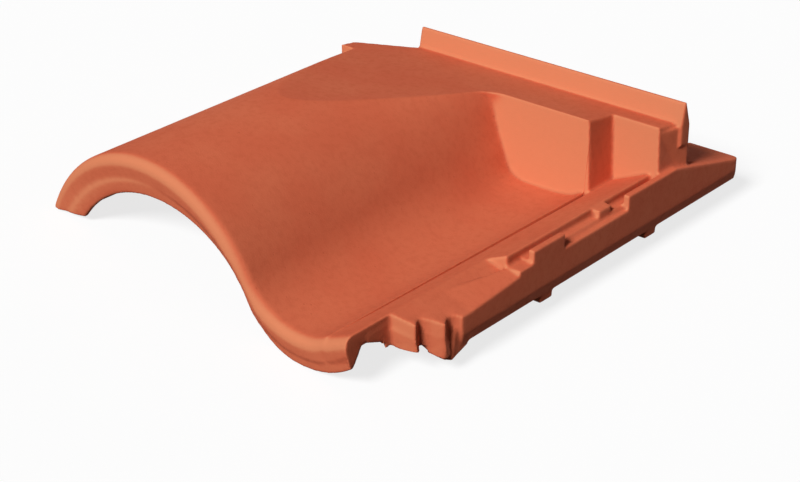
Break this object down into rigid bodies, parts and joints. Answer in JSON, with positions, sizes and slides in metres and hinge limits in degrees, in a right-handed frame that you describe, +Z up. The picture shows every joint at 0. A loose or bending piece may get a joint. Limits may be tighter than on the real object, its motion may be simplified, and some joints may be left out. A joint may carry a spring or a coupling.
{
  "type": "clay roof tile",
  "caption": "Under-ridge interlocking clay roof tile with a barrel, a pan closed by a raised head plate with a back lip, a thick rounded nose and a ribbed side lock",
  "frame": {"origin": "middle of the bounding box's base, on the floor the tile lies on", "axes": "+Y from the nose to the head, +Z up, +X from the barrel to the side lock"},
  "size_m": [0.2698, 0.366, 0.0924],
  "materials": {
    "clay": "fired unglazed clay, matt"
  },
  "bodies": {
    "root": {"clay_tile": "clay"}
  },
  "joints": []
}
